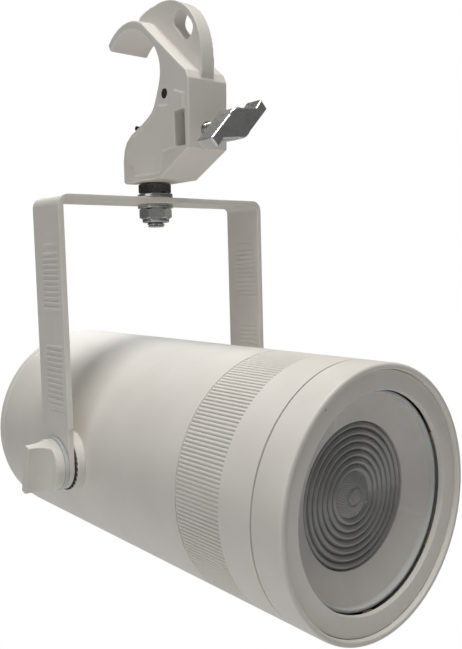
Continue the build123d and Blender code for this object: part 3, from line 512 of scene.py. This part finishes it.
def bezel():
    rebate = BARREL_R - 2.8 * MM
    ledge = RIM + 4.8 * MM
    throat = ledge + 3.7 * MM
    outline = rounded([
        (BARREL_R, BEZEL_BACK, 0.35 * MM), (BARREL_R, RIM, 1.25 * MM), (rebate, RIM, 0.8 * MM),
        (rebate, ledge, 0.3 * MM), (rebate - 2.7 * MM, ledge, 0.2 * MM), (rebate - 2.7 * MM, throat),
        (BARREL_R - 7.4 * MM, throat), (BARREL_R - 7.4 * MM, BEZEL_BACK)])
    dress(lathe("bezel", outline, on_lamp, 320), "front_bezel")


def face_disc():
    low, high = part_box("face_ring")
    front, back = low.y, high.y
    outer = high.x
    inner = outer - 8.9 * MM
    outline = rounded([
        (inner, back), (outer, back), (outer, front, 0.25 * MM), (inner, front, 0.45 * MM)])
    dress(lathe("face_disc", outline, on_lamp, 320), "face_ring")


def baffle():
    """The lens carriage: pale cup rim, short wall, conical dish and the lens seat behind."""
    front, back = span("lens_carriage", Y)
    sleeve = span("lens_carriage", X)[1]
    cup = sleeve - 2.54 * MM
    cup_in = cup - 1.7 * MM
    aperture = cup_in - 13.5 * MM
    edge = front + 8.35 * MM
    dish = edge - 5.4 * MM
    seat = span("lens", Y)
    seat_r = span("lens", X)[1] + 0.1 * MM
    skirt = seat_r + 1.6 * MM
    shoulder = edge - 1.9 * MM
    outline = rounded([
        (aperture, edge, 0.3 * MM), (cup_in, dish, 0.9 * MM), (cup_in, front + 0.3 * MM),
        (cup - 0.35 * MM, front + 0.3 * MM, 0.5 * MM), (cup - 0.35 * MM, shoulder - 1.5 * MM),
        (cup, shoulder, 0.3 * MM), (sleeve, shoulder + 1.8 * MM), (sleeve, back), (sleeve - 1.8 * MM, back),
        (sleeve - 1.8 * MM, shoulder + 3.6 * MM), (cup_in, shoulder + 1.8 * MM),
        (cup_in, dish + 1.8 * MM), (skirt, edge + 0.3 * MM), (skirt, edge + 6.6 * MM),
        (seat_r, edge + 6.6 * MM), (seat_r, edge + 2.2 * MM), (aperture, edge + 2.2 * MM)])
    dress(lathe("baffle", outline, on_lamp, 256), "lens_carriage")
    lip = lathe("cup_lip", rounded([
        (cup_in - 0.15 * MM, dish - 1.2 * MM), (cup_in - 0.15 * MM, front - 0.02 * MM + 0.2 * MM, 0.35 * MM),
        (cup - 0.3 * MM, front + 0.18 * MM, 0.5 * MM), (cup - 0.3 * MM, dish - 1.2 * MM)]), on_lamp, 256)
    lip.data.materials.append(MATERIALS["pale_washer"])
    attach(lip, "lens_carriage")
    return seat


def ringed_lens():
    """A clear optic with smooth ring ridges round a pebbled dome and a small raised core."""
    front, back = span("lens", Y)
    flange = span("lens", X)[1]
    edge = 32.75 * MM
    pitch = 3.2 * MM
    dome_r = 8.6 * MM
    base = front + 2.4 * MM
    profile = [(0.0, back), (flange - 5.7 * MM, back), (flange - 5.7 * MM, back - 1.0 * MM),
               (flange, back - 1.0 * MM), (flange, base + 0.1 * MM), (edge, base + 0.1 * MM)]
    samples = 14
    ridges = int((edge - dome_r) / pitch)
    for i in range(ridges):
        for k in range(samples + 1):
            share = k / samples
            rise = (1.75 - 0.05 * i) * MM * math.sin(math.pi * share) ** 0.8
            profile.append((edge - pitch * (i + share), base - rise))
    steps = 44
    floor_r = edge - pitch * ridges
    for k in range(1, steps + 1):
        r = floor_r * (1 - k / steps)
        bowl = 2.1 * MM * math.cos(math.pi / 2 * min(1.0, r / floor_r)) ** 0.9
        if r < 3.6 * MM:
            bowl += 0.45 * MM * smooth_step((3.6 * MM - r) / (0.5 * MM))
        bowl -= 0.5 * MM * math.exp(-((r - 4.2 * MM) / (0.45 * MM)) ** 2)
        profile.append((r, base - bowl))
    segments = 288
    rows = []
    for k in range(segments):
        turn = 2 * math.pi * k / segments
        row = []
        for r, y in profile:
            if y < base and r < floor_r * 0.97 and r > 0.4 * MM:
                cell = math.sin(r / (0.28 * MM)) * math.sin(turn * 36)
                y -= 0.22 * MM * cell
            row.append(on_lamp(r * math.cos(turn), r * math.sin(turn), max(y, front)))
        rows.append(row)
    piece = grid_piece("ringed_lens", rows, loop_columns=False, sharp=60.0)
    dress(piece, "lens")


def clips():
    """Six bronzed spring clips whose bent tongues show in the gap inside the face ring."""
    low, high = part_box("face_ring_clips")
    inner = BARREL_R - 12.4 * MM
    outer = BARREL_R - 5.75 * MM
    count = 6
    points, faces = [], []
    profile = rounded([
        (outer, low.y), (outer, low.y + 0.5 * MM), (inner + 0.5 * MM, low.y + 0.5 * MM),
        (inner + 0.5 * MM, high.y, 0.1 * MM), (inner, high.y, 0.1 * MM), (inner, low.y, 0.3 * MM)])
    for i in range(count):
        middle = math.radians(25.0) + 2 * math.pi * i / count
        across = (-math.sin(middle), math.cos(middle))
        out = (math.cos(middle), math.sin(middle))
        first = len(points)
        for half in (-2.9 * MM, 2.9 * MM):
            for r, y in profile:
                points.append(on_lamp(out[0] * r + across[0] * half, out[1] * r + across[1] * half, y))
        n = len(profile)
        faces += [(first + j, first + (j + 1) % n, first + n + (j + 1) % n, first + n + j) for j in range(n)]
        faces += [tuple(first + j for j in range(n)), tuple(first + n + j for j in reversed(range(n)))]
    mesh = bpy.data.meshes.new("clips")
    mesh.from_pydata(points, [], faces)
    dress(finish_mesh("clips", mesh), "face_ring_clips")


def back_cover():
    """The rear cover: vent slots, screw holes and gland hole in a plate, on a spigot."""
    front, back = span("rear_cover", Y)
    seam = BARREL_BACK
    circle_r = 50.0 * MM
    holes = []
    for row in range(5):
        rise = (8.0 + 8.0 * row) * MM
        holes.append(slot_outline(1.5 * math.sqrt(circle_r**2 - rise**2), 3.0 * MM, (0.0, rise)))
    gland = span("gland_cap", Z)
    holes.append(circle(6.1 * MM, 48, (0.0, sum(gland) / 2 - LAMP_Z)))
    for k in range(4):
        turn = math.radians(45 + 90 * k)
        holes.append(circle(3.1 * MM, 32, (circle_r * math.cos(turn), circle_r * math.sin(turn))))
    disc = plate("back_cover", circle(BARREL_R, 256), holes, seam, back, 0.7 * MM, on_lamp)
    dress(disc, "rear_cover")
    inner = BARREL_R - BARREL_WALL - 0.1 * MM
    outline = [(inner, front), (inner, seam), (inner - 3 * MM, seam), (inner - 3 * MM, front)]
    spigot = lathe("cover_spigot", outline, on_lamp, 128)
    spigot.data.materials.append(MATERIALS["white_coat"])
    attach(spigot, "head")


barrel()
zoom_grip()
bezel()
face_disc()
baffle()
ringed_lens()
clips()
back_cover()


# ------------------------------------------------------------------ cable gland


def gland():
    low_z, high_z = span("gland_cap", Z)
    front, back = span("gland_cap", Y)
    radius = (high_z - low_z) / 2
    drop = (low_z + high_z) / 2 - LAMP_Z
    outline = rounded([
        (radius, front, 0.4 * MM), (radius, back, 2.6 * MM), (3.5 * MM, back, 0.5 * MM),
        (3.5 * MM, front)], 6)
    rows = []
    segments = 144
    for k in range(segments):
        turn = 2 * math.pi * k / segments
        grip = 0.35 * MM * smooth_step(0.5 + 1.2 * math.sin(turn * 18))
        row = []
        for r, y in outline:
            if r > radius * 0.93 and front + 1.0 * MM < y < back - 2.0 * MM:
                r -= grip
            row.append(on_lamp(r * math.cos(turn), drop + r * math.sin(turn), y))
        rows.append(row)
    dress(grid_piece("gland_dome", rows, sharp=50.0), "gland_cap")


gland()


# ------------------------------------------------------------------ nuts, washers and bolts


def hex_nut(name, across, low, high, bore, place, collar=None):
    """A hexagon nut with the cone-turned corners of a real one, and a collar if given."""
    segments = 96
    flat = across / 2
    shoulder = flat * 0.97
    rows = []
    for k in range(segments):
        turn = 2 * math.pi * k / segments
        off = (turn + math.pi / 6) % (math.pi / 3) - math.pi / 6
        reach = flat / math.cos(off)
        fall = (reach - shoulder) * math.tan(math.radians(30))
        section = [(bore, high), (bore + 0.4 * MM, high), (shoulder, high), (reach, high - fall),
                   (reach, low + fall), (shoulder, low)]
        if collar:
            radius, drop = collar
            section += [(radius, low - 0.1 * MM), (radius, low - drop + 0.6 * MM),
                        (radius - 0.2 * MM, low - drop + 0.15 * MM), (radius - 0.7 * MM, low - drop),
                        (bore + 0.9 * MM, low - drop), (bore, low - drop + 0.3 * MM)]
        else:
            section += [(bore + 0.4 * MM, low), (bore, low + 0.3 * MM)]
        c, s = math.cos(turn), math.sin(turn)
        rows.append([place(r * c, r * s, z) for r, z in section])
    return grid_piece(name, rows, sharp=28.0)


def washer(name, outer, inner, low, high, place):
    outline = rounded([
        (inner, low, 0.15 * MM), (outer, low, 0.3 * MM), (outer, high, 0.45 * MM), (inner, high, 0.2 * MM)], 4)
    return lathe(name, outline, place, 96)


def thread(name, radius, low, high, pitch, place, segments=48):
    """A rod with a wavy groove that climbs a pitch a turn and runs out at both ends."""
    depth = 0.54 * pitch
    steps = max(8, int((high - low) / pitch * 8))
    rows = []
    for k in range(segments):
        share = k / segments
        turn = 2 * math.pi * share
        row = [place(0.0, 0.0, low)]
        for i in range(steps + 1):
            z = low + (high - low) * i / steps
            wave = abs(((z / pitch + share) % 1.0) - 0.5) * 2
            r = radius - depth * smooth_step((wave - 0.15) / 0.85)
            r = min(r, radius - depth + (z - low) * 1.2, radius - depth + (high - z) * 1.2)
            row.append(place(r * math.cos(turn), r * math.sin(turn), z))
        row.append(place(0.0, 0.0, high))
        rows.append(row)
    return grid_piece(name, rows, loop_columns=False, sharp=40.0)


def join_into(target, extra):
    """Adds one mesh's geometry to another's as one piece."""
    work = bmesh.new()
    work.from_mesh(target.data)
    work.from_mesh(extra.data)
    work.to_mesh(target.data)
    work.free()
    bpy.data.objects.remove(extra)


def bolt_stack():
    low, high = span("jam_nut", Z)
    dress(hex_nut("jam_nut_hex", NUT_ACROSS, low, high, BOLT_R, upright), "jam_nut")
    for node in ("pan_washer_top", "pan_washer_bottom", "pan_friction_washer"):
        low, high = span(node, Z)
        radius = span(node, X)[1]
        dress(washer(node + "_turned", radius, 5.25 * MM, low, high, upright), node)
    low, high = span("lock_nut", Z)
    collar = 2.0 * MM
    nut = hex_nut("lock_nut_hex", NUT_ACROSS, low + collar, high, BOLT_R, upright, (7.6 * MM, collar))
    dress(nut, "lock_nut")
    low, high = span("yoke_bolt", Z)
    under_head = high - 6.4 * MM
    shank = thread("bolt_thread", BOLT_R, low, under_head + 0.2 * MM, 1.5 * MM, upright)
    head_part = hex_nut("bolt_head", NUT_ACROSS, under_head, high, 0.0, upright)
    join_into(shank, head_part)
    dress(shank, "yoke_bolt")


bolt_stack()


# ------------------------------------------------------------------ tilt pivots


def pivots():
    for side, hand in ((-1, "left"), (1, "right")):
        place = along_side(side)
        boss(side, hand)
        low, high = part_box(f"knob_washer_{hand}")
        ends = sorted((abs(low.x), abs(high.x)))
        piece = washer(f"knob_washer_{hand}_turned", (high.y - low.y) / 2, 4.0 * MM, *ends, place)
        dress(piece, f"knob_washer_{hand}")
        knob = cast_copy(f"tilt_knob_{hand}", f"grip_knob_{hand}", 0.27 * MM, 7)
        dress(knob, f"tilt_knob_{hand}")


def boss(side, hand):
    """The short round pad that grows out of the barrel under the arm."""
    node = f"pivot_boss_{hand}"
    low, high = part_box(node)
    radius = (high.z - low.z) / 2
    end = max(abs(low.x), abs(high.x))
    fillet = 0.5 * MM
    rows = []
    segments = 128
    for k in range(segments):
        turn = 2 * math.pi * k / segments
        a, b = math.cos(turn), math.sin(turn)

        def at(r, x):
            return (side * x, BOLT_Y + r * a, LAMP_Z + r * b)

        row = []
        for r in (radius + 0.5 * MM, radius + 0.2 * MM, radius):
            foot = math.sqrt(BARREL_R**2 - (r * b) ** 2)
            row.append(at(r, foot + (0.0 if r > radius + 0.3 * MM else 0.12 * MM)))
        foot = math.sqrt(BARREL_R**2 - (radius * b) ** 2)
        row.append(at(radius, foot + 0.5 * MM))
        for i in range(6):
            bend = math.pi / 2 * i / 5
            row.append(at(radius - fillet + fillet * math.cos(bend), end - fillet + fillet * math.sin(bend)))
        row.append(at(6.5 * MM, end))
        row.append(at(6.5 * MM, BARREL_R - 1 * MM))
        row.append(at(radius, math.sqrt(BARREL_R**2 - (radius * b) ** 2) - 0.6 * MM))
        rows.append(row)
    dress(grid_piece(f"pivot_pad_{hand}", rows), node)


pivots()


# ------------------------------------------------------------------ yoke

YOKE_BAR = span("yoke", Y)[1] - span("yoke", Y)[0]
RIB_PITCH = 2.83 * MM
RIB_HEIGHT = 0.45 * MM
RIB_HALF = 0.62 * MM
RIB_FROM = -11.4 * MM
RIB_TO = 6.3 * MM
ARM_BLOCKS = (
    {"first": 110.5, "count": 11, "cap": 115.0, "close": None},
    {"first": 62.6, "count": 12, "cap": None, "close": 28.4},
)


def arm_relief(height, y):
    """How far the pressed ribs raise or sink an arm's face at a height above the tilt axis."""
    inside = smooth_step((y - RIB_FROM) / (0.9 * MM)) * smooth_step((RIB_TO - y) / (0.9 * MM))
    total = 0.0
    for block in ARM_BLOCKS:
        for k in range(block["count"]):
            line = block["first"] * MM - k * RIB_PITCH
            off = abs(height - line)
            if off < RIB_HALF:
                total += inside * RIB_HEIGHT * (0.5 + 0.5 * math.cos(math.pi * off / RIB_HALF))
        middle = (RIB_FROM + RIB_TO) / 2
        corner = max(0.0, abs(y - middle) - 6.8 * MM)
        for key, bend, sign in (("cap", -1.0, 1.0), ("close", 1.2, -0.8)):
            if block[key] is None:
                continue
            off = abs(height - (block[key] * MM + bend * corner))
            if off < RIB_HALF:
                total += inside * sign * RIB_HEIGHT * 0.7 * (0.5 + 0.5 * math.cos(math.pi * off / RIB_HALF))
    return total


def arm_heights():
    """Rows down one arm: fine over the ribs and the round end, coarse elsewhere."""
    rows = set()
    for block in ARM_BLOCKS:
        lines = [block["first"] - k * RIB_PITCH / MM for k in range(block["count"])]
        for line in lines:
            rows.update(round(line + step, 3) for step in (-0.62, -0.42, -0.2, 0.0, 0.2, 0.42, 0.62))
        for key in ("cap", "close"):
            if block[key] is not None:
                rows.update(round(block[key] + step * 0.3, 3) for step in range(-14, 15))
    rows.update((130.0, 124.0, 80.0, 72.0, 24.0, 20.7, 20.5, 20.2, 19.9, 19.7, 15.0, 10.0, 5.0, 0.0))
    return sorted(rows, reverse=True)


def half_width(height):
    """Half the strip's width: narrower at the arm's foot, then a half circle."""
    full = YOKE_BAR / 2
    foot = full - 0.6 * MM
    if height >= 0:
        return foot + (full - foot) * smooth_step((height - 19.7 * MM) / (0.8 * MM))
    return math.sqrt(max(0.0, foot**2 - height**2))


def strip_section(mid, normal, half, relief):
    """One closed ring of points round the strip, with rounded long edges."""
    edge = min(0.45 * MM, half * 0.5)
    across = [-1 + 2 * k / 32 for k in range(33)]
    ring = []
    for face in (1, -1):
        order = across if face > 0 else list(reversed(across))
        for v in order:
            y = v * (half - edge)
            lift = STRIP / 2 + relief(y) * (1 if face > 0 else -1)
            ring.append((mid, normal, y, face * lift))
        side = 1 if face > 0 else -1
        for k in (1, 2, 3):
            bend = math.pi / 2 * k / 3
            ring.append((mid, normal, side * (half - edge + edge * math.sin(bend)),
                         face * (STRIP / 2 - edge + edge * math.cos(bend))))
        for k in (2, 1):
            bend = math.pi / 2 * k / 3
            ring.append((mid, normal, side * (half - edge + edge * math.sin(bend)),
                         -face * (STRIP / 2 - edge + edge * math.cos(bend))))
    return [(m[0] + n[0] * t, BOLT_Y + y, m[1] + n[1] * t) for m, n, y, t in ring]


def yoke_strip():
    low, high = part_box("yoke")
    half_span = high.x - STRIP / 2
    bend = 6 * MM - STRIP / 2
    top = high.z - STRIP / 2
    stations = []

    def arm(side):
        out = []
        heights = [h * MM for h in arm_heights() if h * MM < top - LAMP_Z - bend]
        foot = YOKE_BAR / 2 - 0.6 * MM
        heights += [-foot * math.sin(math.pi / 2 * k / 16) for k in range(1, 17)]
        for h in heights:
            def relief(y, h=h):
                return arm_relief(h, y) if h > 25 * MM else 0.0
            out.append(((side * half_span, LAMP_Z + h), (side, 0.0), max(half_width(h), 0.02 * MM), relief))
        return out

    def flat(y):
        return 0.0

    full = YOKE_BAR / 2
    stations += list(reversed(arm(-1)))
    for k in range(9):
        turn = math.pi - math.pi / 2 * k / 8
        mid = (-half_span + bend + bend * math.cos(turn), top - bend + bend * math.sin(turn))
        stations.append((mid, (math.cos(turn), math.sin(turn)), full, flat))
    for k in range(9):
        turn = math.pi / 2 - math.pi / 2 * k / 8
        mid = (half_span - bend + bend * math.cos(turn), top - bend + bend * math.sin(turn))
        stations.append((mid, (math.cos(turn), math.sin(turn)), full, flat))
    stations += arm(1)
    rows = [strip_section(*station) for station in stations]
    piece = grid_piece("yoke_strip", rows, loop_rows=False, sharp=40.0)
    work = bmesh.new()
    work.from_mesh(piece.data)
    bmesh.ops.holes_fill(work, edges=[e for e in work.edges if e.is_boundary], sides=0)
    work.to_mesh(piece.data)
    work.free()
    dress(piece, "yoke")


yoke_strip()


# ------------------------------------------------------------------ hook clamp


SCREW_Z = sum(span("clamp_screw", Z)) / 2


def on_screw(x, up, y):
    """A point on the clamp screw's axis frame."""
    return (x, y, SCREW_Z + up)


def hook_clamp():
    dress(cast_copy("clamp_body", "clamp_casting", 0.44 * MM, 1), "clamp_body")
    dress(cast_copy("clamp_wing", "wing_casting", 0.25 * MM, 4), "clamp_wing")
    dress(cast_copy("clamp_tongue", "tongue_lever", 0.35 * MM, 4), "clamp_tongue")
    low, high = span("clamp_screw", Y)
    radius = span("clamp_screw", X)[1]
    dress(thread("clamp_thread", radius, low, high, 1.25 * MM, on_screw), "clamp_screw")


hook_clamp()


# ------------------------------------------------------------------ floor, light and camera


def camera_only(tree, lit, shown, output):
    """Uses one shader for what the camera sees directly and another for the light it gives."""
    path = tree.nodes.new("ShaderNodeLightPath")
    mix = tree.nodes.new("ShaderNodeMixShader")
    tree.links.new(path.outputs["Is Camera Ray"], mix.inputs["Fac"])
    tree.links.new(lit.outputs[0], mix.inputs[1])
    tree.links.new(shown.outputs[0], mix.inputs[2])
    tree.links.new(mix.outputs[0], output.inputs["Surface"])


def stage_material():
    """Lit as a pale floor, and plain white where the camera sees it directly."""
    material = bpy.data.materials.new("floor_pale")
    material.use_nodes = True
    tree = material.node_tree
    shader = tree.nodes["Principled BSDF"]
    shader.inputs["Base Color"].default_value = (0.80, 0.80, 0.80, 1.0)
    shader.inputs["Roughness"].default_value = 0.9
    glow = tree.nodes.new("ShaderNodeEmission")
    glow.inputs["Color"].default_value = (1.0, 1.0, 1.0, 1.0)
    camera_only(tree, shader, glow, tree.nodes["Material Output"])
    return material


def floor():
    mesh = bpy.data.meshes.new("floor")
    size, drop = 14.0, -0.62
    mesh.from_pydata([(-size, -size, drop), (size, -size, drop), (size, size, drop), (-size, size, drop)],
                     [], [(0, 1, 2, 3)])
    mesh.materials.append(stage_material())
    ground = bpy.data.objects.new("floor", mesh)
    bpy.context.scene.collection.objects.link(ground)


def area_light(name, place, aim, size, power, colour=(1.0, 1.0, 1.0)):
    data = bpy.data.lights.new(name, "AREA")
    data.shape = "RECTANGLE"
    data.size, data.size_y = size
    data.energy = power
    data.color = colour
    lamp = bpy.data.objects.new(name, data)
    lamp.location = place
    lamp.rotation_mode = "QUATERNION"
    lamp.rotation_quaternion = (Vector(aim) - Vector(place)).to_track_quat("-Z", "Y")
    bpy.context.scene.collection.objects.link(lamp)


def lights():
    area_light("key", (-0.02, -0.26, 1.35), (0.0, -0.08, -0.15), (0.55, 0.55), 18.0, (1.0, 0.985, 0.955))
    area_light("left_fill", (-2.2, -0.3, 0.3), (0.0, -0.1, -0.15), (1.4, 1.0), 5.5)
    area_light("back_fill", (0.8, 2.0, 0.7), (0.0, 0.0, -0.15), (1.4, 1.0), 14.0)
    area_light("low_fill", (-0.4, -0.4, -0.6), (0.0, 0.0, -0.2), (1.4, 1.4), 1.2)
    area_light("glint", (-1.05, -0.75, 0.55), (0.0, -0.16, -0.2), (0.10, 0.10), 0.5)
    world = bpy.data.worlds.new("studio")
    bpy.context.scene.world = world
    world.use_nodes = True
    tree = world.node_tree
    background = tree.nodes["Background"]
    background.inputs["Color"].default_value = (1.0, 1.0, 1.0, 1.0)
    background.inputs["Strength"].default_value = 0.14
    bright = tree.nodes.new("ShaderNodeBackground")
    bright.inputs["Color"].default_value = (1.0, 1.0, 1.0, 1.0)
    bright.inputs["Strength"].default_value = 1.0
    camera_only(tree, background, bright, tree.nodes["World Output"])
    bpy.context.scene.view_settings.view_transform = "Standard"


def camera():
    data = bpy.data.cameras.new("camera")
    data.sensor_width = 36.0
    data.lens = 40.8905
    data.clip_start, data.clip_end = 0.01, 50.0
    eye = bpy.data.objects.new("camera", data)
    right = Vector((0.76157, -0.647543, -0.026454))
    up = Vector((0.076172, 0.0489, 0.995895))
    back = Vector((-0.643591, -0.760459, 0.086566))
    turn = Matrix((right, up, back)).transposed()
    eye.matrix_world = Matrix.Translation((-0.243608, -0.355450, -0.102801)) @ turn.to_4x4()
    bpy.context.scene.collection.objects.link(eye)
    bpy.context.scene.camera = eye


floor()
lights()
camera()

bpy.context.view_layer.update()
